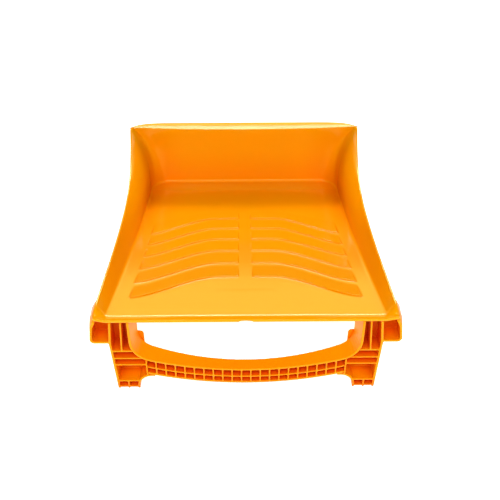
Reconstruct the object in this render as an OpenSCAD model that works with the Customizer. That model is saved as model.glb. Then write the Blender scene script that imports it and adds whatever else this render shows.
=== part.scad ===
// Paint roller tray: one moulded plastic pan with a ribbed ramp, two front legs and a carrying grip.
// The moulding is split at its natural boundaries, so that each wall, rib and leg plate is its own solid.
// +X right, +Y from the front edge to the deep end, +Z up. Origin: centre of the footprint, on the ground.

/* [Tray] */
// Height of the front edge above the ground
front_h = 96; // [85:1:100]
// Distance from the front edge to the foot of the back wall
pan_l = 447; // [430:1:470]
// Half the width of the ramp between the side walls
ramp_half = 141.5; // [139:0.5:143]
// Width of the floor added by the flare at the deep end, each side
floor_flare = 4.5; // [0:0.5:8]
// Height of the back rim above the ground
back_h = 91; // [84:1:100]
// Length of the flat well floor in front of the back wall
well_l = 32; // [25:1:40]
// Thickness of the moulded skin
skin = 2.5; // [2:0.1:3]

/* [Rim] */
// Height of the side rim if its front line ran on to the front edge
rim_front_h = 107.5; // [104:0.5:112]
// Fall of the side rim towards the back, per unit of length
rim_fall = 0.138; // [0.12:0.002:0.15]
// Half the inner width of the rim at the front
rim_half = 151.8; // [150:0.1:153]
// Outward sweep of the rim at the deep end
rim_sweep = 20.3; // [16:0.1:24]
// Distance from the front edge to the start of the rim's sweep
sweep_start = 100; // [60:10:140]
// Bell of the side walls at the deep end: 1 is straight, more keeps them upright below the rim
side_bell = 3.5; // [1:0.5:6]
// Distance from the front edge to the start of the rim's rise
rise_start = 220; // [200:5:240]
// Depth of the ledge behind the back rim
ledge_d = 18; // [12:1:24]
// Bow of the back rim towards the front, at its middle
rim_bow = 8.5; // [0:0.5:12]

/* [Grip] */
// Half the width of the hand opening
hand_half = 118.6; // [117:0.1:119.5]
// Height of the grip's top face at its middle
grip_z = 27.2; // [26:0.2:29]
// Radius of the grip's long sagging curve
sag_r = 365; // [355:5:380]
// Radius of the opening's lower corners
hand_r = 25; // [22:1:27]
// Height of the grip from its top face to its lower face
grip_h = 20.6; // [20:0.2:21.6]
// Depth of the grip at its middle
grip_d = 15; // [13:0.5:17]
// Distance between the grip's cross ribs
rib_pitch = 10; // [10:0.1:10.2]

/* [Legs] */
// Depth of the legs and corner boxes from front to back
leg_d = 22.5; // [21:0.5:26]
// Height of the corner boxes' floor above the ground
box_z = 64.5; // [62:0.5:67]
// Thickness of the ribs and shelves inside the legs
rib_t = 1.8; // [1.6:0.1:2.2]

/* [Ramp ribs] */
// Width of a ramp rib, from its step to the end of its tail
arc_w = 30; // [20:1:34]
// Width of the step at a ramp rib's front
arc_step = 1.6; // [0.8:0.1:2]
// Height of a ramp rib above the ramp
arc_h = 1.5; // [1:0.1:2.5]
// Distance along the tray between ramp ribs
arc_pitch = 38.4; // [36:0.2:39]

/* [Hidden] */

// Front lip: depth along the ramp and thickness
lip_d = 7;
lip_t = 4;
// Rim thickness at the front edge fades to the skin over this length
front_round = 14;
// Lowest point of the rim above the lip at the front edge
front_rim_h = 0.8;
rim_dip = rim_front_h - front_h - front_rim_h;
// Plan radii of the rear corners at the floor and at the rim
floor_corner_r = 28;
rim_corner_r = 4;
// Stations along the lofted walls
side_steps = 20;
corner_steps = 18;
wall_steps = 8;
back_steps = 16;

well_y = pan_l - well_l;
ramp_fall = (front_h - skin) / (well_y - lip_d);
ramp_angle = atan(ramp_fall);
side_end = pan_l - floor_corner_r;
rim_back_y = 461.5 + (pan_l - 447);
rim_side_end = rim_back_y - rim_corner_r;
// The side rim leads the floor's edge by this much at the rear corners
rim_lead = 20;
bell_start = 160;
total_l = rim_back_y + ledge_d;
rim_rise = back_h - (rim_front_h - rim_fall * rim_side_end);

// Grip curve: a long sagging arc that meets the opening's sides through a corner arc
sag_z = grip_z + sag_r;
corner_x = hand_half - hand_r;
corner_z = sag_z - sqrt(pow(sag_r - hand_r, 2) - pow(corner_x, 2));
sag_a = asin(corner_x / (sag_r - hand_r));
band_t = 2.4;
band_corner_n = 8;
band_sag_n = 10;
band_taper = 5;
band_back_extra = 5;
mid_top = 10.2;
mid_t = 1.6;
flange_t = 2.4;
web_t = 2.5;
cross_t = 1.6;
end_x = 10.5 * rib_pitch;
end_t = 1.6;

// Leg outline, as half widths at the top, at the knee and at the ground
leg_top_x = 138.7;
leg_knee_x = 141.5;
leg_foot_x = 138;
leg_inner_x = 114.2;
leg_t = 2.5;
arch_r = 13.5;
arch_t = 2.2;
arch_x = leg_inner_x - arch_r;
arch_z = 4;
sole_z = 1.4;
sole_t = 1.8;
shelf_zs = [53.5, 43.4, 34.3, 10.7];
gusset_x = 108;
gusset_z = 63;
gusset_low = 38;

// Skirt beside the corner box
skirt_x = 160.5;
skirt_r = 5;
skirt_mid_x = 158.6;
skirt_mid_drop = 8;
skirt_hold = 3;

function clamp01(v) = min(1, max(0, v));
function smooth(v) = clamp01(v) * clamp01(v) * (3 - 2 * clamp01(v));

// Height of the pan's inner floor at a distance y from the front edge
function floor_z(y) = y < lip_d ? front_h : max(skin, front_h - ramp_fall * (y - lip_d));
// Half width of the pan's floor
function flare(y) = clamp01((y - rise_start) / (side_end - rise_start));
function floor_x(y) = ramp_half + floor_flare * pow(flare(y), 1.2);
// Skin thickness: the front edge is thicker
function wall_t(y) = skin + (lip_t - skin) * clamp01(1 - (y - lip_d) / lip_d);
// Share of the way through the rim's rise
function rise(y) = clamp01((y - rise_start) / (rim_side_end - rise_start));
function rim_line(y) = rim_front_h - rim_fall * y + rim_rise * pow(rise(y), 2.6);
function rim_z(y) = rim_line(y) - rim_dip * pow(clamp01(1 - y / front_round), 2);
function sweep(y) = pow(clamp01((y - sweep_start) / (rim_side_end - sweep_start)), 1.9);
function rim_x(y) = rim_half + 0.006 * y + rim_sweep * sweep(y) + 3 * pow(clamp01(1 - y / 12), 2);

// Wall section from its base point b, rim point r, outward direction u, thickness t and bell e
function wall_section(b, r, u, t, e) =
  let (h = (r - b) * u)
  let (dz = r[2] - b[2])
  let (len = sqrt(h * h + dz * dz))
  let (foot = b + u * (t * dz / len - t * (1 - h / len) * h / dz) - [0, 0, t])
  let (top = r + u * (t * dz / len) - [0, 0, t * h / len])
  let (side = r[0] - b[0])
  let (shift = [for (k = [0:wall_steps]) let (s = k / wall_steps) [side * (pow(s, e) - s), 0, 0]])
  concat([for (k = [0:wall_steps]) b + (r - b) * k / wall_steps + shift[k]],
    [for (k = [wall_steps:-1:0]) foot + (top - foot) * k / wall_steps + shift[k]],
    [b - [0, 0, t]]);

// Stations of the right side wall; the rim end of a section leads its base towards the back
side_ys = concat([0, lip_d / 2, lip_d, lip_d + 3, front_round, front_round + 4],
  [for (i = [1:side_steps]) lip_d + (well_y - lip_d) * i / side_steps], [side_end]);
function lead_y(y) = y + rim_lead * pow(y / side_end, 3);
function bell(y) = 1 + (side_bell - 1) * smooth((y - bell_start) / (side_end - bell_start));
function side_section(y) = wall_section([floor_x(y), y, floor_z(y)],
  [rim_x(lead_y(y)), lead_y(y), rim_z(lead_y(y))], [1, 0, 0], wall_t(y), bell(y));

back_floor_x = floor_x(side_end);
back_rim_x = rim_x(rim_side_end);
back_floor_half = back_floor_x - floor_corner_r;
back_rim_half = back_rim_x - rim_corner_r;
back_rim_flat = back_floor_half + 8;
function back_rim_y(x) = rim_back_y - rim_bow * (1 - pow(x / back_rim_half, 2));

// Point of the rim round a rear corner, from the side (0) to the end of the back wall (1)
side_run = rim_side_end - side_end - rim_lead;
arc_run = rim_corner_r * PI / 2;
back_run = back_rim_half - back_rim_flat;
function corner_rim(share) =
  let (run = share * (side_run + arc_run + back_run))
  let (y = side_end + rim_lead + run)
  let (a = (run - side_run) / arc_run * 90)
  let (x = back_rim_half - (run - side_run - arc_run))
  run < side_run ? [rim_x(y), y, rim_z(y)]
    : run < side_run + arc_run
    ? [back_rim_half + rim_corner_r * cos(a), rim_side_end + rim_corner_r * sin(a), back_h]
    : [x, back_rim_y(x), back_h];
function corner_section(a) = wall_section(
  [back_floor_half + floor_corner_r * cos(a), side_end + floor_corner_r * sin(a), skin],
  corner_rim(a / 90), [cos(a), sin(a), 0], skin, side_bell);

// Back wall section at a share s of the half width, from -1 to 1
function back_section(s) = wall_section([s * back_floor_half, pan_l, skin],
  [s * back_rim_flat, back_rim_y(s * back_rim_flat), back_h], [0, 1, 0], skin, side_bell);

// Ledge section behind the back rim; its outer edge is straight and turns in at the ends
ledge_half = back_rim_x + 2;
function ledge_y(x) = rim_back_y + 0.6 + (ledge_d - 0.6) * (1 - pow(abs(x) / ledge_half, 12));
function ledge_section(s) =
  let (x = s * ledge_half)
  let (inner = back_rim_y(min(abs(x), back_rim_half)) + skin)
  let (outer = max(ledge_y(x), inner + 0.4))
  [[x, inner, back_h - 0.5], [x, outer, back_h - 0.5], [x, outer, back_h - 0.5 - skin],
   [x, inner, back_h - 0.5 - skin]];

// Solid through a list of sections that have the same number of points
module loft(sections) {
  m = len(sections[0]);
  n = len(sections);
  sides = [for (i = [0:n - 2]) for (j = [0:m - 1])
    let (a = i * m + j) let (b = i * m + (j + 1) % m)
    each [[a, b, b + m], [a, b + m, a + m]]];
  first = [for (j = [1:m - 2]) [0, j + 1, j]];
  last = [for (j = [1:m - 2]) [(n - 1) * m, (n - 1) * m + j, (n - 1) * m + j + 1]];
  polyhedron(points = [for (s = sections) each s], faces = concat(sides, first, last));
}

// Moves a shape built from the front edge into the part's frame, mirrored for the left side
module placed(side = 1) {
  translate([0, -total_l / 2, 0]) mirror([side < 0 ? 1 : 0, 0, 0]) children();
}

// Extrudes an (x, z) outline from y0 to y1
module front_extrude(y0, y1) {
  translate([0, y1, 0]) rotate([90, 0, 0]) linear_extrude(y1 - y0) children();
}

// Extrudes a (y, z) outline across the whole width
module cross_extrude(half) {
  translate([-half, 0, 0]) rotate([90, 0, 90]) linear_extrude(2 * half) children();
}

// Everything below the lip and the ramp, down to the ground
module under_tray() {
  cross_extrude(200) polygon([[-1, 0], [60, 0], [60, floor_z(60) - skin], [lip_d, front_h - skin],
    [lip_d, front_h - lip_t], [-1, front_h - lip_t]]);
}

floor_edge = concat([for (y = side_ys) if (y >= lip_d) [floor_x(y), y]],
  [for (i = [1:corner_steps]) let (a = 90 * i / corner_steps)
    [back_floor_x - floor_corner_r * (1 - cos(a)), side_end + floor_corner_r * sin(a)]]);
floor_outline = concat(floor_edge,
  [for (i = [len(floor_edge) - 1:-1:0]) [-floor_edge[i][0], floor_edge[i][1]]]);

module ramp_panel() {
  color("orange") placed() intersection() {
    translate([0, 0, -1]) linear_extrude(front_h + 2) polygon(floor_outline);
    cross_extrude(200) polygon([[lip_d, front_h - skin], [lip_d, front_h], [well_y, skin], [well_y, 0]]);
  }
}

module well_floor() {
  color("orange") placed() intersection() {
    linear_extrude(skin) polygon(floor_outline);
    translate([-200, well_y, -1]) cube([400, well_l + 1, skin + 2]);
  }
}

module side_wall(side) {
  color("darkorange") placed(side) loft([for (y = side_ys) side_section(y)]);
}

module rear_corner(side) {
  color("darkorange") placed(side) loft([for (i = [0:corner_steps]) corner_section(90 * i / corner_steps)]);
}

module back_wall() {
  color("darkorange") placed() loft([for (i = [0:back_steps]) back_section(1 - 2 * i / back_steps)]);
}

module back_ledge() {
  color("gold") placed() loft([for (i = [0:back_steps]) ledge_section(1 - 2 * i / back_steps)]);
}

// Bar across the front edge, with rounded front edges and a shallow arched notch below its middle
module front_lip() {
  edge_r = 1.6;
  notch_w = 14;
  notch_h = 1.6;
  notch_r = (notch_w * notch_w / 4 + notch_h * notch_h) / (2 * notch_h);
  color("orange") placed() difference() {
    cross_extrude(ramp_half) union() {
      translate([edge_r, front_h - lip_t]) square([lip_d - edge_r, lip_t]);
      translate([0, front_h - lip_t + edge_r]) square([edge_r + 0.1, lip_t - 2 * edge_r]);
      translate([edge_r, front_h - edge_r]) circle(edge_r, $fn = 32);
      translate([edge_r, front_h - lip_t + edge_r]) circle(edge_r, $fn = 32);
    }
    translate([0, -1, front_h - lip_t + notch_h - notch_r]) rotate([-90, 0, 0])
      cylinder(r = notch_r, h = lip_d + 2, $fn = 96);
  }
}

// Places a flat shape on the sloping ramp: local y runs down the ramp from the lip
module on_ramp() {
  translate([0, lip_d, front_h]) rotate([-ramp_angle, 0, 0]) children();
}

// Blank rectangular panel near the front edge
module label_panel() {
  label_w = 70;
  label_l = 36;
  label_h = 0.5;
  color("orange") placed() on_ramp()
    translate([-label_w / 2, 26, 0]) cube([label_w, label_l, label_h]);
}

// Curved ramp rib: a low wedge, flat near the middle, then bending towards the front
arc_in = 9;
arc_out = 125;
arc_first = 290 - lip_d;
arc_points = 24;
function arc_y(i, x) = (arc_first - arc_pitch * (i - 1)
  - (64 - 2 * i) * smooth((x - (42 - 2 * i)) / (100 + 0.5 * i))) / cos(ramp_angle);
module ramp_rib(side, i) {
  color("gold") placed(side) on_ramp() loft([for (k = [0:arc_points])
    let (x = arc_in + (arc_out - arc_in) * k / arc_points)
    let (y = arc_y(i, x))
    [[x, y + arc_w, 0], [x, y + arc_step, arc_h], [x, y, 0]]]);
}

// Points of the grip curve on the right half, moved out by off: side, corner arc, sagging arc
function band_half(off) = concat(
  [[hand_half + off, front_h + 2]],
  [for (k = [0:band_corner_n]) let (a = (90 - sag_a) * k / band_corner_n)
    [corner_x + (hand_r + off) * cos(a), corner_z - (hand_r + off) * sin(a)]],
  [for (k = [1:band_sag_n]) let (a = sag_a * (1 - k / band_sag_n))
    [(sag_r + off) * sin(a), sag_z - (sag_r + off) * cos(a)]]);
function whole(half) = concat(half, [for (k = [len(half) - 2:-1:0]) [-half[k][0], half[k][1]]]);
function reversed(list) = [for (k = [len(list) - 1:-1:0]) list[k]];

module band2d(low, high) {
  polygon(concat(whole(band_half(low)), reversed(whole(band_half(high)))));
}

// Everything below the grip curve moved out by off
module below_band2d(off) {
  polygon(concat(whole(band_half(off)), [[-200, front_h + 2], [-200, -10], [200, -10], [200, front_h + 2]]));
}

// Smooth top band: the opening narrows a little towards its back
module grip_band() {
  inner = whole(band_half(0));
  outer = whole(band_half(band_t));
  share = [for (p = inner) pow(clamp01(abs(p[0]) / hand_half), 2)];
  center = [for (p = inner)
    abs(p[0]) < corner_x ? [0, sag_z] : [sign(p[0]) * corner_x, max(corner_z, p[1])]];
  color("orange") placed() intersection() {
    loft([for (k = [0:len(inner) - 1])
      let (back = grip_d + band_back_extra * share[k])
      let (in_dir = (center[k] - inner[k]) / norm(center[k] - inner[k]))
      let (tip = inner[k] + in_dir * band_taper * share[k])
      [[inner[k][0], 0, inner[k][1]], [outer[k][0], 0, outer[k][1]],
       [outer[k][0], back, outer[k][1]], [tip[0], back, tip[1]]]]);
    under_tray();
  }
}

module between_ends2d() {
  translate([-end_x + end_t / 2, 0]) square([2 * end_x - end_t, front_h]);
}

module grip_web() {
  color("orange") placed() front_extrude(grip_d - web_t, grip_d) intersection() {
    band2d(band_t, grip_h - flange_t);
    between_ends2d();
  }
}

module grip_mid_rib() {
  color("gold") placed() front_extrude(0, grip_d - web_t) intersection() {
    band2d(mid_top, mid_top + mid_t);
    between_ends2d();
  }
}

module grip_bottom_flange() {
  color("gold") placed() front_extrude(0, grip_d) intersection() {
    band2d(grip_h - flange_t, grip_h);
    between_ends2d();
  }
}

module grip_cross_ribs() {
  color("gold") placed() front_extrude(0, grip_d - web_t) difference() {
    intersection() {
      band2d(band_t, grip_h - flange_t);
      union() {
        for (k = [-9.5:1:9.5]) translate([k * rib_pitch - cross_t / 2, 0]) square([cross_t, front_h]);
      }
    }
    band2d(mid_top, mid_top + mid_t);
  }
}

// Space under the leg's inner arch and under the grip
module arch_void2d() {
  translate([arch_x, arch_z]) circle(arch_r, $fn = 96);
  translate([0, -1]) square([leg_inner_x, arch_z + 1]);
  square([arch_x, arch_z + arch_r]);
}

// Outline of a whole right leg, from the ground to the tray
module leg2d() {
  difference() {
    intersection() {
      polygon([[end_x - end_t / 2, 0], [end_x - end_t / 2, 60], [hand_half, front_h + 2],
        [leg_top_x, front_h], [leg_knee_x, box_z], [leg_foot_x, 0]]);
      below_band2d(band_t);
    }
    arch_void2d();
  }
}

module leg_outer2d() {
  polygon([[leg_top_x - leg_t, front_h], [leg_top_x, front_h], [leg_knee_x, box_z], [leg_foot_x, 0],
    [leg_foot_x - leg_t, 0], [leg_knee_x - leg_t, box_z]]);
}

// Inner strip of the leg: an arch from the grip's lower face to the ground
module leg_arch2d() {
  strip_x = end_x - 8;
  difference() {
    intersection() {
      union() {
        translate([arch_x, arch_z]) circle(arch_r + arch_t, $fn = 96);
        translate([leg_inner_x - 1, 0]) square([arch_t + 1, arch_z]);
        translate([strip_x, arch_z]) square([arch_x - strip_x, arch_r + arch_t]);
      }
      translate([strip_x, 0]) square([60, arch_z + arch_r + arch_t]);
      union() {
        below_band2d(grip_h);
        translate([end_x - end_t / 2, 0]) square([60, 60]);
      }
    }
    arch_void2d();
  }
}

module end_plate2d() {
  intersection() {
    translate([end_x - end_t / 2, arch_z + arch_r + arch_t]) square([end_t, 60]);
    below_band2d(band_t);
  }
}

// Space inside the leg between its strips, where the shelves and ribs stand
module leg_inside2d() {
  difference() {
    leg2d();
    leg_outer2d();
    leg_arch2d();
    end_plate2d();
  }
}

module leg_outer_wall(side) {
  color("darkorange") placed(side) intersection() {
    front_extrude(0, leg_d - web_t) leg_outer2d();
    under_tray();
  }
}

module leg_back(side) {
  color("orangered") placed(side) intersection() {
    front_extrude(leg_d - web_t, leg_d) leg2d();
    under_tray();
  }
}

module leg_arch(side) {
  color("orange") placed(side) front_extrude(0, leg_d - web_t) leg_arch2d();
}

module leg_sole(side) {
  color("orange") placed(side) front_extrude(0, leg_d - web_t) intersection() {
    difference() {
      leg_inside2d();
      foot_rib2d();
    }
    translate([0, sole_z]) square([200, sole_t]);
  }
}

module foot_rib2d() {
  translate([126.1 - rib_t / 2, 0]) square([rib_t, shelf_zs[3] - rib_t / 2]);
}

module foot_rib(side) {
  color("gold") placed(side) front_extrude(0, leg_d - web_t) foot_rib2d();
}

module leg_shelf(side, i) {
  color("gold") placed(side) front_extrude(0, leg_d - web_t) intersection() {
    leg_inside2d();
    translate([0, shelf_zs[i - 1] - rib_t / 2]) square([200, rib_t]);
  }
}

module leg_upper_rib(side) {
  low_z = shelf_zs[0] + rib_t / 2;
  color("gold") placed(side) intersection() {
    front_extrude(0, leg_d - web_t)
      polygon([[126.6 - rib_t / 2, front_h], [126.6 + rib_t / 2, front_h],
        [129.1 + rib_t / 2, low_z], [129.1 - rib_t / 2, low_z]]);
    under_tray();
  }
}

module leg_end_plate(side) {
  color("gold") placed(side) front_extrude(0, grip_d) end_plate2d();
}

// Plate that reaches into the hand opening behind the band, with a rounded upper corner
module gusset(side) {
  round_r = 4;
  color("darkorange") placed(side) front_extrude(leg_d - web_t, leg_d) difference() {
    union() {
      translate([gusset_x, gusset_low]) square([20, gusset_z - gusset_low - round_r]);
      translate([gusset_x + round_r, gusset_low]) square([20, gusset_z - gusset_low]);
      translate([gusset_x + round_r, gusset_z - round_r]) circle(round_r, $fn = 48);
    }
    leg2d();
    translate([hand_half + band_t, 0]) square([40, front_h]);
  }
}

// Skirt panel: hangs from the rim's outer edge beside the corner box
function skirt_section(y) =
  let (w = side_section(y))
  let (rim = w[wall_steps + 1])
  let (down = w[2 * wall_steps + 1] - rim)
  let (hold = rim + down * skirt_hold / norm(down))
  let (mid_z = rim[2] - skirt_mid_drop)
  [rim, [skirt_mid_x, y, mid_z], [skirt_x, y, box_z + skirt_r], [skirt_x - leg_t, y, box_z + skirt_r],
   [skirt_mid_x - leg_t, y, mid_z - 0.5], hold];
module skirt(side) {
  color("darkorange") placed(side) loft([for (y = [0, lip_d / 2, lip_d, leg_d]) skirt_section(y)]);
}

// Floor of the corner box, turning up into the skirt
module box_floor(side) {
  color("orange") placed(side) front_extrude(0, leg_d) difference() {
    union() {
      translate([leg_knee_x, box_z]) square([skirt_x - skirt_r - leg_knee_x, leg_t]);
      intersection() {
        translate([skirt_x - skirt_r, box_z + skirt_r]) circle(skirt_r, $fn = 64);
        translate([skirt_x - skirt_r, box_z]) square([skirt_r, skirt_r]);
      }
    }
    translate([skirt_x - skirt_r, box_z + skirt_r]) circle(skirt_r - leg_t, $fn = 64);
  }
}

// Outer face of the leg's outer wall at a height z above its knee
function leg_face_x(z) = leg_knee_x + (leg_top_x - leg_knee_x) * (z - box_z) / (front_h - box_z);
module box_back(side) {
  w = side_section(leg_d);
  rim = w[wall_steps + 1];
  foot = w[2 * wall_steps + 1];
  rim_side = rim + 0.25 * (foot - rim);
  floor_top = box_z + leg_t;
  color("orangered") placed(side) front_extrude(leg_d - web_t, leg_d)
    polygon([[leg_face_x(floor_top), floor_top], [skirt_x - skirt_r, floor_top],
      [skirt_x - leg_t, box_z + skirt_r], [skirt_mid_x - leg_t, rim[2] - skirt_mid_drop - 0.5],
      [rim_side[0], rim_side[2]], [foot[0], foot[2]], [leg_face_x(foot[2]), foot[2]]]);
}

ramp_panel();
well_floor();
side_wall(-1);  // left_side_wall
side_wall(1);  // right_side_wall
rear_corner(-1);  // left_rear_corner
rear_corner(1);  // right_rear_corner
back_wall();
back_ledge();
front_lip();
label_panel();
ramp_rib(-1, 1);  // left_ramp_rib_1
ramp_rib(-1, 2);  // left_ramp_rib_2
ramp_rib(-1, 3);  // left_ramp_rib_3
ramp_rib(-1, 4);  // left_ramp_rib_4
ramp_rib(-1, 5);  // left_ramp_rib_5
ramp_rib(-1, 6);  // left_ramp_rib_6
ramp_rib(1, 1);  // right_ramp_rib_1
ramp_rib(1, 2);  // right_ramp_rib_2
ramp_rib(1, 3);  // right_ramp_rib_3
ramp_rib(1, 4);  // right_ramp_rib_4
ramp_rib(1, 5);  // right_ramp_rib_5
ramp_rib(1, 6);  // right_ramp_rib_6
grip_band();
grip_web();
grip_mid_rib();
grip_bottom_flange();
grip_cross_ribs();
leg_outer_wall(-1);  // left_leg_outer_wall
leg_back(-1);  // left_leg_back
leg_arch(-1);  // left_leg_arch
leg_sole(-1);  // left_leg_sole
leg_upper_rib(-1);  // left_leg_upper_rib
leg_end_plate(-1);  // left_leg_end_plate
leg_shelf(-1, 1);  // left_leg_shelf_1
leg_shelf(-1, 2);  // left_leg_shelf_2
leg_shelf(-1, 3);  // left_leg_shelf_3
leg_shelf(-1, 4);  // left_leg_shelf_4
foot_rib(-1);  // left_foot_rib
gusset(-1);  // left_gusset
skirt(-1);  // left_skirt
box_floor(-1);  // left_box_floor
box_back(-1);  // left_box_back
leg_outer_wall(1);  // right_leg_outer_wall
leg_back(1);  // right_leg_back
leg_arch(1);  // right_leg_arch
leg_sole(1);  // right_leg_sole
leg_upper_rib(1);  // right_leg_upper_rib
leg_end_plate(1);  // right_leg_end_plate
leg_shelf(1, 1);  // right_leg_shelf_1
leg_shelf(1, 2);  // right_leg_shelf_2
leg_shelf(1, 3);  // right_leg_shelf_3
leg_shelf(1, 4);  // right_leg_shelf_4
foot_rib(1);  // right_foot_rib
gusset(1);  // right_gusset
skirt(1);  // right_skirt
box_floor(1);  // right_box_floor
box_back(1);  // right_box_back
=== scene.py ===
# Paint roller tray: one glossy orange-yellow plastic moulding on a plain pale floor.
import math

import bmesh
import bpy
import numpy as np
from mathutils import Euler, Matrix, Vector


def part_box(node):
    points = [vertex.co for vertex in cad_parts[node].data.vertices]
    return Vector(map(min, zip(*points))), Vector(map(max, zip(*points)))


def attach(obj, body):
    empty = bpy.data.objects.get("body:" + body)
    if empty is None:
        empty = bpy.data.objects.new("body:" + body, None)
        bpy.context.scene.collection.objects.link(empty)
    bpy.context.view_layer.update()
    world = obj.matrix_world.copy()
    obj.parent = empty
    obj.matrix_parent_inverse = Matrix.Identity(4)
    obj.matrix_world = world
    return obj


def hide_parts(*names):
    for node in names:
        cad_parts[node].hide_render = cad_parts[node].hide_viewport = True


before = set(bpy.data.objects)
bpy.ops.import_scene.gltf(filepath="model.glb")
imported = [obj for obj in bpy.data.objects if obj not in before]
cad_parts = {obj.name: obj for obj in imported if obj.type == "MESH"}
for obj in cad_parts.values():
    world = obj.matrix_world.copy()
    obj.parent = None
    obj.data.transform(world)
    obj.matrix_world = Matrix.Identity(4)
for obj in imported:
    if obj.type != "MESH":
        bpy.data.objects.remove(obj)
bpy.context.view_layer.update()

MM = 0.001

# ---- Places worked out from the frame: distances run back from the tray's front edge ----
EDGE_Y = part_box("front_lip")[0][1]
FRONT_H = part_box("front_lip")[1][2]
LIP_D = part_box("front_lip")[1][1] - EDGE_Y
LIP_T = FRONT_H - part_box("front_lip")[0][2]
RAMP_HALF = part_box("front_lip")[1][0]
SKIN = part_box("well_floor")[1][2]
WELL_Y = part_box("well_floor")[0][1] - EDGE_Y
PAN_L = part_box("well_floor")[1][1] - EDGE_Y
BACK_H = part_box("back_wall")[1][2]
LEDGE_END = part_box("back_ledge")[1][1] - EDGE_Y

# ---- Shape of the moulding ----
FLOOR_FLARE = 4.5 * MM
FLOOR_FLARE_POWER = 1.2
FLOOR_CORNER_R = 28 * MM
RIM_CORNER_R = 4 * MM
LEDGE_D = 18 * MM
LEDGE_POWER = 12
LEDGE_DROP = 0.15 * MM
RIM_BOW = 8.5 * MM
RISE_START = 220 * MM
RIM_FRONT_H = 107.5 * MM
RIM_FALL = 0.138
RISE_POWER = 2.6
RIM_HALF = 151.8 * MM
RIM_SPREAD = 0.006
RIM_SWEEP = 20.3 * MM
SWEEP_POWER = 1.9
SWEEP_START = 100 * MM
RIM_TOE = 3 * MM
TOE_L = 12 * MM
FRONT_ROUND = 14 * MM
FRONT_RIM_H = 0.8 * MM
FOOT_R = 5 * MM
WELL_BLEND = 10 * MM
SIDE_FLARE = 3.5
FLARE_START = 160 * MM
RIM_LEAD = 20 * MM
NOSE_R = min(1.5 * MM, 0.45 * LIP_T)
NOTCH_HALF = 7 * MM
NOTCH_H = 1.6 * MM

SIDE_END = PAN_L - FLOOR_CORNER_R
RIM_BACK_Y = LEDGE_END - LEDGE_D
RIM_SIDE_END = RIM_BACK_Y - RIM_CORNER_R
RIM_RISE = BACK_H - (RIM_FRONT_H - RIM_FALL * RIM_SIDE_END)
RAMP_FALL = (FRONT_H - SKIN) / (WELL_Y - LIP_D)

# ---- Ramp ribs: low wedges, straight in the middle, bending to the front at the sides ----
RIB_N = 6
RIB_H = 1.5 * MM
RIB_STEP = 1.6 * MM
RIB_TAIL = 30 * MM
RIB_IN = 9 * MM
RIB_OUT = 125 * MM
RIB_FADE = 1.2 * MM
RIB_FIRST = 290 * MM
RIB_PITCH = 38.4 * MM
RIB_LAST = RIB_FIRST - RIB_PITCH * (RIB_N - 1)

# ---- Blank panel near the front edge ----
PANEL_HALF = 35 * MM
PANEL_FRONT = 32 * MM
PANEL_BACK = 67 * MM
PANEL_H = 0.08 * MM
PANEL_EDGE = 4 * MM

# ---- Points used round a wall section, and along the shell ----
FOOT_N = 5
WALL_N = 8
RIM_N = 10
CORNER_N = 12
NOSE_N = 4


def clamp01(v):
    return np.clip(v, 0.0, 1.0)


def smooth(v):
    v = clamp01(v)
    return v * v * (3 - 2 * v)


# ---- Floor of the pan ----
def ramp_z(y):
    """Height of the pan's floor, with a soft blend between the ramp and the flat well."""
    line = FRONT_H - RAMP_FALL * np.maximum(0.0, y - LIP_D)
    k = WELL_BLEND * RAMP_FALL
    soft = SKIN + k * np.log1p(np.exp(np.minimum(50.0, (line - SKIN) / k)))
    return np.where(line - SKIN > 12 * k, line, soft)


def row_y(mid, x):
    """Distance of a floor row at x from the middle: rows bend with the ribs, mid is their middle."""
    rib = np.clip(1 + (RIB_FIRST - mid) / RIB_PITCH, 1, RIB_N)
    reach = (64 - 2 * rib) * MM
    start = (42 - 2 * rib) * MM
    spread = (100 + 0.5 * rib) * MM
    front_share = clamp01((mid - LIP_D) / (RIB_LAST - LIP_D))
    back_share = clamp01((SIDE_END - mid) / (SIDE_END - RIB_FIRST))
    share = min(front_share, back_share)
    return mid - reach * share * smooth((np.abs(x) - start) / spread)


def rib_height(mid, x):
    ax = np.abs(x)
    ends = smooth((ax - RIB_IN + RIB_FADE) / RIB_FADE) * smooth((RIB_OUT + RIB_FADE - ax) / RIB_FADE)
    top = 0.0
    for i in range(RIB_N):
        off = mid - (RIB_FIRST - RIB_PITCH * i)
        top = max(top, RIB_H * smooth((off + RIB_STEP / 2) / RIB_STEP) * clamp01(1 - off / RIB_TAIL))
    return top * ends


def panel_height(x, y):
    across = smooth((PANEL_HALF - np.abs(x)) / PANEL_EDGE)
    along = smooth((y - PANEL_FRONT) / PANEL_EDGE) * smooth((PANEL_BACK - y) / PANEL_EDGE)
    return PANEL_H * across * along


# ---- Rim and walls ----
def floor_x(y):
    share = clamp01((y - RISE_START) / (SIDE_END - RISE_START))
    return RAMP_HALF + FLOOR_FLARE * share**FLOOR_FLARE_POWER


def rim_z(y):
    rise = clamp01((y - RISE_START) / (RIM_SIDE_END - RISE_START))
    line = RIM_FRONT_H - RIM_FALL * y + RIM_RISE * rise**RISE_POWER
    return line - (RIM_FRONT_H - FRONT_H - FRONT_RIM_H) * clamp01(1 - y / FRONT_ROUND) ** 2


def rim_x(y):
    sweep = clamp01((y - SWEEP_START) / (RIM_SIDE_END - SWEEP_START)) ** SWEEP_POWER
    return RIM_HALF + RIM_SPREAD * y + RIM_SWEEP * sweep + RIM_TOE * clamp01(1 - y / TOE_L) ** 2


def wall_t(y):
    return SKIN + (LIP_T - SKIN) * clamp01(1 - (y - LIP_D) / LIP_D)


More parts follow.
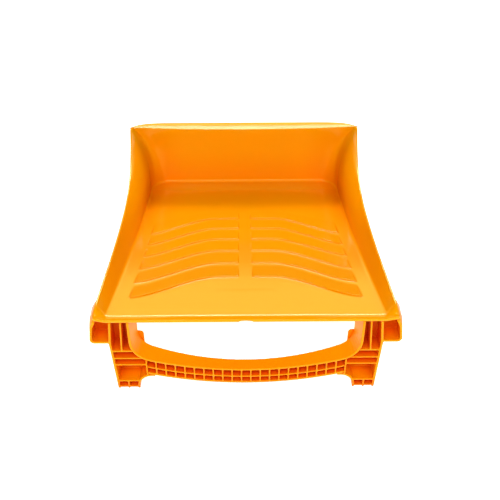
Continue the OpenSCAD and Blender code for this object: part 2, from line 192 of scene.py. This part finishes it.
BACK_FLOOR_HALF = float(floor_x(SIDE_END)) - FLOOR_CORNER_R
BACK_RIM_X = float(rim_x(RIM_SIDE_END))
BACK_RIM_HALF = BACK_RIM_X - RIM_CORNER_R
BACK_RIM_FLAT = BACK_FLOOR_HALF + 8 * MM
LEDGE_HALF = BACK_RIM_X + 2 * MM


def back_rim_y(x):
    return RIM_BACK_Y - RIM_BOW * (1 - (x / BACK_RIM_HALF) ** 2)


def wall_section(base, rim, out, t, flare):
    """Points of one wall section, from the floor up the inside, over the rim and down the outside."""
    base = np.array(base, float)
    out = np.array(out, float)
    d = np.array(rim, float) - base
    h = float(d @ out)
    dz = float(d[2])
    lean = d - out * h - np.array([0, 0, dz])
    length = math.hypot(h, dz)
    turn = math.atan2(dz, h)
    r = min(FOOT_R, 0.7 * length / max(1e-6, math.tan(turn / 2)))
    tangent = r * math.tan(turn / 2)
    along = np.array([math.cos(turn), math.sin(turn)])
    normal = np.array([math.sin(turn), -math.cos(turn)])
    centre = np.array([-tangent, r])
    spin = [turn * k / FOOT_N for k in range(FOOT_N + 1)]
    inner_foot = [centre + r * np.array([math.sin(a), -math.cos(a)]) for a in spin]
    outer_foot = [centre + (r + t) * np.array([math.sin(a), -math.cos(a)]) for a in reversed(spin)]
    top = length - t / 2
    tip = along * top + normal * (t / 2)
    half_turn = [math.pi * k / RIM_N for k in range(RIM_N + 1)]
    edge = [tip + (t / 2) * (along * math.sin(a) - normal * math.cos(a)) for a in half_turn]
    up = [tangent + (top - tangent) * k / WALL_N for k in range(1, WALL_N)]
    wall_in = [along * s for s in up]
    wall_out = [along * s + normal * t for s in reversed(up)]

    def place(p):
        share = min(1.0, max(0.0, p[1] / dz))
        bell = np.array([d[0] * (share**flare - share), 0, 0])
        return base + out * p[0] + np.array([0, 0, p[1]]) + lean * max(0.0, p[1]) / dz + bell

    return np.array([place(p) for p in inner_foot + wall_in + edge + wall_out + outer_foot])


def side_section(y):
    lead = y + RIM_LEAD * (y / SIDE_END) ** 3
    base = (float(floor_x(y)), y, float(ramp_z(y)))
    rim = (float(rim_x(lead)), lead, float(rim_z(lead)))
    flare = 1 + (SIDE_FLARE - 1) * float(smooth((y - FLARE_START) / (SIDE_END - FLARE_START)))
    return wall_section(base, rim, (1, 0, 0), float(wall_t(y)), flare)


def corner_rim(share):
    """Point of the rim round a rear corner, from the side (0) to the back wall's end (1)."""
    side_l = RIM_SIDE_END - SIDE_END - RIM_LEAD
    arc_l = RIM_CORNER_R * math.pi / 2
    back_l = BACK_RIM_HALF - BACK_RIM_FLAT
    run = share * (side_l + arc_l + back_l)
    if run < side_l:
        y = SIDE_END + RIM_LEAD + run
        return (float(rim_x(y)), y, float(rim_z(y)))
    if run < side_l + arc_l:
        a = (run - side_l) / RIM_CORNER_R
        return (BACK_RIM_HALF + RIM_CORNER_R * math.cos(a), RIM_SIDE_END + RIM_CORNER_R * math.sin(a), BACK_H)
    x = BACK_RIM_HALF - (run - side_l - arc_l)
    return (x, back_rim_y(x), BACK_H)


def corner_section(a):
    c, s = math.cos(a), math.sin(a)
    base = (BACK_FLOOR_HALF + FLOOR_CORNER_R * c, SIDE_END + FLOOR_CORNER_R * s, float(ramp_z(SIDE_END)))
    return wall_section(base, corner_rim(2 * a / math.pi), (c, s, 0), SKIN, SIDE_FLARE)


def back_section(share):
    base = (share * BACK_FLOOR_HALF, PAN_L, float(ramp_z(SIDE_END)))
    x = share * BACK_RIM_FLAT
    return wall_section(base, (x, back_rim_y(x), BACK_H), (0, 1, 0), SKIN, SIDE_FLARE)


def nose_section(section, angle):
    """The section thinned all round and moved forward, so that the front edge is a half round."""
    inward = np.array([10 * MM, 0, 0])
    before = np.vstack([section[0] - inward, section[:-1]])
    after = np.vstack([section[1:], section[-1] - inward])
    tangent = after - before
    tangent /= np.hypot(tangent[:, 0], tangent[:, 2])[:, None]
    normal = np.stack([tangent[:, 2], np.zeros(len(section)), -tangent[:, 0]], -1)
    moved = section + normal * NOSE_R * (1 - math.cos(angle))
    moved[:, 1] = section[:, 1] - NOSE_R * math.sin(angle)
    return moved


# ---- Shell of the pan ----
def spaced(start, end, step):
    """Values from start up to but not including end, about one step apart."""
    return list(np.linspace(start, end, max(1, round((end - start) / step)), endpoint=False))


def row_middles():
    """Middle distances of the floor rows: close together at each rib's step."""
    step_rows = [v * MM for v in (-0.9, -0.5, -0.2, 0.1, 0.4, 0.8)]
    rows = spaced(NOSE_R, LIP_D, 1.8 * MM)
    at = LIP_D
    for i in reversed(range(RIB_N)):
        rib = RIB_FIRST - RIB_PITCH * i
        rows += spaced(at, rib + step_rows[0], 2.2 * MM) + [rib + v for v in step_rows]
        at = rib + 1.3 * MM
    blend_end = WELL_Y + 25 * MM
    return rows + spaced(at, blend_end, 3 * MM) + spaced(blend_end, SIDE_END, 8 * MM) + [SIDE_END]


def column_shares():
    """Positions of the floor columns from the right edge (1) to the left (-1)."""
    half = spaced(0, RIB_IN - RIB_FADE, 1.1 * MM)
    half += spaced(RIB_IN - RIB_FADE, RIB_IN + 0.3 * MM, 0.4 * MM)
    half += spaced(RIB_IN + 0.3 * MM, PANEL_HALF - PANEL_EDGE, 2.4 * MM)
    half += spaced(PANEL_HALF - PANEL_EDGE, PANEL_HALF, 1.0 * MM)
    half += spaced(PANEL_HALF, RIB_OUT, 2.2 * MM)
    half += spaced(RIB_OUT, RIB_OUT + RIB_FADE, 0.4 * MM)
    half += spaced(RIB_OUT + RIB_FADE, RAMP_HALF, 2.2 * MM)
    half = np.array(half + [RAMP_HALF]) / RAMP_HALF
    return np.concatenate([half[::-1], -half[1:]])


def quads(grid_index, flip=False):
    a, b = grid_index[:-1, :-1], grid_index[1:, :-1]
    c, d = grid_index[1:, 1:], grid_index[:-1, 1:]
    return np.stack([a, d, c, b] if flip else [a, b, c, d], -1).reshape(-1, 4)


def pan_sections(middles, shares):
    """Wall sections of the right half, front to back, and those of the back wall."""
    right = [side_section(float(row_y(m, RAMP_HALF))) for m in middles]
    front = [nose_section(right[0], math.pi / 2 * k / NOSE_N) for k in range(NOSE_N, 0, -1)]
    corner = [corner_section(math.pi / 2 * k / CORNER_N) for k in range(1, CORNER_N)]
    return front + right + corner, [back_section(s) for s in shares]


def floor_grid(edge, middles, shares, top):
    """Points of the floor's top or underside between the two rows of wall feet."""
    rows = []
    for p, mid in zip(edge, middles):
        x = p[0] * shares
        across = RAMP_HALF * shares
        y = np.full_like(x, p[1]) if mid is None else row_y(mid, across)
        z = p[2] + ramp_z(y) - ramp_z(p[1])
        if top and mid is not None:
            z = z + rib_height(mid, across) + panel_height(x, y)
        if not top and p[1] <= LIP_D + MM:
            z = z + NOTCH_H * np.sqrt(clamp01(1 - (x / NOTCH_HALF) ** 2))
        rows.append(np.stack([x, y, z], -1))
    return np.array(rows)


def build_pan():
    """The pan as one closed skin: floor, side walls, rear corners, back wall and front edge."""
    middles = row_middles()
    shares = column_shares()
    right, back = pan_sections(middles, shares)
    left = [p * np.array([-1, 1, 1]) for p in reversed(right)]
    ring = np.array(right + back + left)
    row_mids = [None] * NOSE_N + middles + [None] * CORNER_N
    tops = floor_grid([p[0] for p in right] + [back[0][0]], row_mids, shares, True)
    unders = floor_grid([p[-1] for p in right] + [back[0][-1]], row_mids, shares, False)
    points = np.concatenate([g.reshape(-1, 3) for g in (ring, tops, unders)])
    ring_at = np.arange(ring.shape[0] * ring.shape[1]).reshape(ring.shape[:2])
    top_at = ring_at.size + np.arange(tops.shape[0] * tops.shape[1]).reshape(tops.shape[:2])
    under_at = top_at + top_at.size
    faces = [quads(ring_at), quads(top_at, flip=True), quads(under_at)]
    # the flat front end inside the rounded edge
    n = ring.shape[1]
    for section in (ring_at[0], ring_at[-1]):
        half = n // 2
        faces.append(quads(np.stack([section[:half], section[::-1][:half]])))
        faces.append(np.array([[section[half - 1], section[half], section[half + 1], section[half + 1]]]))
    faces.append(quads(np.stack([top_at[0], under_at[0]])))
    return points, np.concatenate(faces)


# ---- Ledge behind the back rim ----
def ledge_edge(x):
    lip = 0.6 * MM
    return RIM_BACK_Y + lip + (LEDGE_D - lip) * (1 - abs(x / LEDGE_HALF) ** LEDGE_POWER)


def build_ledge():
    """A thin plate with a half-round outer edge."""
    t = SKIN
    top_z = BACK_H - LEDGE_DROP
    steps = 96
    rows = []
    for k in range(steps + 1):
        x = LEDGE_HALF * math.sin(math.pi / 2 * (1 - 2 * k / steps))
        inner = back_rim_y(max(-BACK_RIM_HALF, min(BACK_RIM_HALF, x))) + 0.8 * MM
        outer = max(ledge_edge(x), inner + 1.6 * MM) - t / 2
        middle = (inner + outer) / 2
        angles = [math.pi * j / 6 for j in range(7)]
        turn = [(x, outer + t / 2 * math.sin(a), top_z - t / 2 * (1 - math.cos(a))) for a in angles]
        above = [(x, inner, top_z), (x, middle, top_z)]
        below = [(x, middle, top_z - t), (x, inner, top_z - t)]
        rows.append(above + turn + below)
    rows = np.array(rows)
    index = np.arange(rows.shape[0] * rows.shape[1]).reshape(rows.shape[:2])
    return rows.reshape(-1, 3), quads(np.hstack([index, index[:, :1]]), flip=True)


def mesh_object(name, points, faces, sharp=50):
    mesh = bpy.data.meshes.new(name)
    rows = [list(dict.fromkeys(f)) for f in faces.tolist()]
    mesh.from_pydata((points + np.array([0, EDGE_Y, 0])).tolist(), [], rows)
    bm = bmesh.new()
    bm.from_mesh(mesh)
    bmesh.ops.remove_doubles(bm, verts=bm.verts, dist=2e-6)
    bmesh.ops.dissolve_degenerate(bm, edges=bm.edges, dist=1e-7)
    bmesh.ops.holes_fill(bm, edges=[e for e in bm.edges if e.is_boundary])
    bmesh.ops.recalc_face_normals(bm, faces=bm.faces)
    bm.to_mesh(mesh)
    bm.free()
    mesh.shade_smooth()
    mesh.set_sharp_from_angle(angle=math.radians(sharp))
    obj = bpy.data.objects.new(name, mesh)
    bpy.context.scene.collection.objects.link(obj)
    return obj


def moulded_block(name, nodes, voxel, keep):
    """Several CAD pieces as the one body they are in the real moulding, with softened edges."""
    bm = bmesh.new()
    for node in nodes:
        bm.from_mesh(bpy.data.objects[node].data)
    mesh = bpy.data.meshes.new(name)
    bm.to_mesh(mesh)
    bm.free()
    obj = bpy.data.objects.new(name, mesh)
    bpy.context.scene.collection.objects.link(obj)
    solid = obj.modifiers.new("one_body", "REMESH")
    solid.mode = "VOXEL"
    solid.voxel_size = voxel
    soften = obj.modifiers.new("soft_edges", "SMOOTH")
    soften.factor = 0.5
    soften.iterations = 2
    fewer = obj.modifiers.new("fewer_faces", "DECIMATE")
    fewer.ratio = keep
    view = bpy.context.evaluated_depsgraph_get()
    applied = bpy.data.meshes.new_from_object(obj.evaluated_get(view))
    obj.modifiers.clear()
    obj.data = applied
    applied.shade_smooth()
    applied.set_sharp_from_angle(angle=math.radians(60))
    return obj


# ---- Material ----
def moulded_plastic(name, color, painted_shade_color, reach, rough, shine):
    """Dyed plastic: slight clouding, painted shade in hollows (ambient occlusion mixes in a darker, redder
    colour), uneven polish and a very fine grain.
    """
    mat = bpy.data.materials.new(name)
    mat.use_nodes = True
    nodes, links = mat.node_tree.nodes, mat.node_tree.links
    shader = nodes["Principled BSDF"]
    coords = nodes.new("ShaderNodeTexCoord")
    cloud = nodes.new("ShaderNodeTexNoise")
    cloud.inputs["Scale"].default_value = 14
    cloud.inputs["Detail"].default_value = 3
    links.new(coords.outputs["Object"], cloud.inputs["Vector"])
    tint = nodes.new("ShaderNodeMix")
    tint.data_type = "RGBA"
    tint.inputs["A"].default_value = (*[c * 0.97 for c in color], 1)
    tint.inputs["B"].default_value = (*color, 1)
    links.new(cloud.outputs["Fac"], tint.inputs["Factor"])
    # Painted shade: ambient occlusion within the given reach mixes the second, darker colour into hollows,
    # corners and cells.
    shade_from_occlusion = nodes.new("ShaderNodeAmbientOcclusion")
    shade_from_occlusion.inputs["Distance"].default_value = reach
    shade_from_occlusion.samples = 8
    painted_shade_mix = nodes.new("ShaderNodeMix")
    painted_shade_mix.data_type = "RGBA"
    painted_shade_mix.inputs["A"].default_value = (*painted_shade_color, 1)
    links.new(shade_from_occlusion.outputs["AO"], painted_shade_mix.inputs["Factor"])
    links.new(tint.outputs["Result"], painted_shade_mix.inputs["B"])
    links.new(painted_shade_mix.outputs["Result"], shader.inputs["Base Color"])
    gloss = nodes.new("ShaderNodeMapRange")
    gloss.inputs["To Min"].default_value = rough - 0.03
    gloss.inputs["To Max"].default_value = rough + 0.05
    links.new(cloud.outputs["Fac"], gloss.inputs["Value"])
    links.new(gloss.outputs["Result"], shader.inputs["Roughness"])
    grain = nodes.new("ShaderNodeTexNoise")
    grain.inputs["Scale"].default_value = 900
    grain.inputs["Detail"].default_value = 2
    links.new(coords.outputs["Object"], grain.inputs["Vector"])
    bump = nodes.new("ShaderNodeBump")
    bump.inputs["Strength"].default_value = 0.08
    bump.inputs["Distance"].default_value = 0.00005
    links.new(grain.outputs["Fac"], bump.inputs["Height"])
    links.new(bump.outputs["Normal"], shader.inputs["Normal"])
    shader.inputs["IOR"].default_value = 1.47
    shader.inputs["Specular IOR Level"].default_value = shine
    shader.inputs["Specular Tint"].default_value = (1.0, 0.7, 0.25, 1)
    shader.inputs["Subsurface Weight"].default_value = 0.12
    shader.inputs["Subsurface Radius"].default_value = (1.0, 0.5, 0.05)
    shader.inputs["Subsurface Scale"].default_value = 0.003
    return mat


# Second colour and distance: the painted shade mixed into hollows, reaching 60 mm on the pan and 18 mm on the
# grip and legs.
glossy = moulded_plastic("orange_plastic", (0.92, 0.34, 0.0003), (0.85, 0.13, 0.0001), 60 * MM, 0.11, 0.4)
satin = moulded_plastic("orange_plastic_satin", (0.88, 0.30, 0.0003), (0.75, 0.03, 0.0001), 18 * MM, 0.30, 0.2)


def add_piece(piece, nodes, material):
    piece.data.materials.clear()
    piece.data.materials.append(material)
    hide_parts(*nodes)
    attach(piece, "root")


# ---- Pieces ----
PAN_NODES = [
    "ramp_panel", "well_floor", "left_side_wall", "right_side_wall", "left_rear_corner",
    "right_rear_corner", "back_wall", "front_lip", "label_panel",
]
PAN_NODES += [f"{side}_ramp_rib_{i}" for side in ("left", "right") for i in range(1, RIB_N + 1)]
LEG_PARTS = ("leg_", "foot_rib", "gusset", "skirt", "box_")
GRIP_NODES = [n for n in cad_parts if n.startswith("grip_")]

add_piece(mesh_object("pan_shell", *build_pan()), PAN_NODES, glossy)
add_piece(mesh_object("rear_ledge", *build_ledge()), ["back_ledge"], glossy)
add_piece(moulded_block("grip_bar", GRIP_NODES, 0.45 * MM, 0.25), GRIP_NODES, satin)
for side in ("left", "right"):
    parts = [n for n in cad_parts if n.startswith(tuple(f"{side}_{p}" for p in LEG_PARTS))]
    add_piece(moulded_block(f"{side}_leg_block", parts, 0.45 * MM, 0.25), parts, satin)

# ---- Floor, lights (power in watts) and camera ----
TOP_W = 4
REAR_HIGH_W = 8
REAR_LOW_W = 13
REAR_MID_W = 50
FRONT_W = 52
WORLD_W = 0.02
FLOOR_GLOW = 0.85
FLOOR_HALF = 8
WARM = (1, 0.9, 0.6)
WARM_WHITE = (1, 0.9, 0.7)
BACKDROP_GOLD = (1, 0.8, 0.2)
CAMERA_TURN = math.radians(0.27)
CAMERA_ROLL = math.radians(0.2)
CAMERA_PITCH = math.radians(55)
CAMERA_BACK = 0.77025
CAMERA_H = 0.5527
TURN_ARM = 0.5305


def studio_floor():
    h = FLOOR_HALF
    mesh = bpy.data.meshes.new("floor")
    mesh.from_pydata([(-h, -h, 0), (h, -h, 0), (h, h, 0), (-h, h, 0)], [], [(0, 1, 2, 3)])
    mat = bpy.data.materials.new("floor_white")
    mat.use_nodes = True
    shader = mat.node_tree.nodes["Principled BSDF"]
    shader.inputs["Base Color"].default_value = (0.9, 0.9, 0.9, 1)
    shader.inputs["Roughness"].default_value = 0.9
    shader.inputs["Specular IOR Level"].default_value = 0.0
    shader.inputs["Emission Color"].default_value = (1, 1, 1, 1)
    shader.inputs["Emission Strength"].default_value = FLOOR_GLOW
    mesh.materials.append(mat)
    obj = bpy.data.objects.new("floor", mesh)
    bpy.context.scene.collection.objects.link(obj)


def studio_world():
    world = bpy.data.worlds.new("studio")
    world.use_nodes = True
    background = world.node_tree.nodes["Background"]
    background.inputs["Color"].default_value = (1, 1, 1, 1)
    background.inputs["Strength"].default_value = WORLD_W
    bpy.context.scene.world = world


def area_light(name, place, aim, size_x, size_y, watts, color=(1, 1, 1)):
    data = bpy.data.lights.new(name, "AREA")
    data.color = color
    data.shape = "RECTANGLE"
    data.size = size_x
    data.size_y = size_y
    data.energy = watts
    obj = bpy.data.objects.new(name, data)
    obj.location = place
    obj.rotation_euler = (Vector(aim) - Vector(place)).to_track_quat("-Z", "Y").to_euler()
    bpy.context.scene.collection.objects.link(obj)


def camera():
    data = bpy.data.cameras.new("camera")
    data.lens = 50
    data.sensor_width = 36
    data.shift_x = 0.0085
    obj = bpy.data.objects.new("camera", data)
    obj.location = (-TURN_ARM * math.sin(CAMERA_TURN), -CAMERA_BACK, CAMERA_H)
    pose = Euler((CAMERA_PITCH, 0, -CAMERA_TURN)).to_matrix() @ Matrix.Rotation(-CAMERA_ROLL, 3, "Z")
    obj.rotation_euler = pose.to_euler()
    bpy.context.scene.collection.objects.link(obj)
    bpy.context.scene.camera = obj


studio_floor()
studio_world()
area_light("top_softbox", (0, 0.1, 1.9), (0, 0, 0), 1.1, 1.1, TOP_W)
area_light("rear_left", (-0.85, 1.8, 1.35), (0, 0.1, 0.05), 0.8, 1.1, REAR_HIGH_W, WARM)
area_light("rear_right", (0.85, 1.8, 1.35), (0, 0.1, 0.05), 0.8, 1.1, REAR_HIGH_W, WARM)
area_light("rear_mid", (0, 2.4, 1.45), (0, 0.2, 0.05), 1.6, 0.6, REAR_MID_W, WARM_WHITE)
area_light("rear_low", (0, 2.3, 0.73), (0, 0, 0.05), 4.0, 0.36, REAR_LOW_W, BACKDROP_GOLD)
area_light("front_softbox", (0, -1.7, 1.6), (0, 0.1, 0.05), 2.4, 1.0, FRONT_W)
camera()
bpy.context.scene.view_settings.view_transform = "Standard"
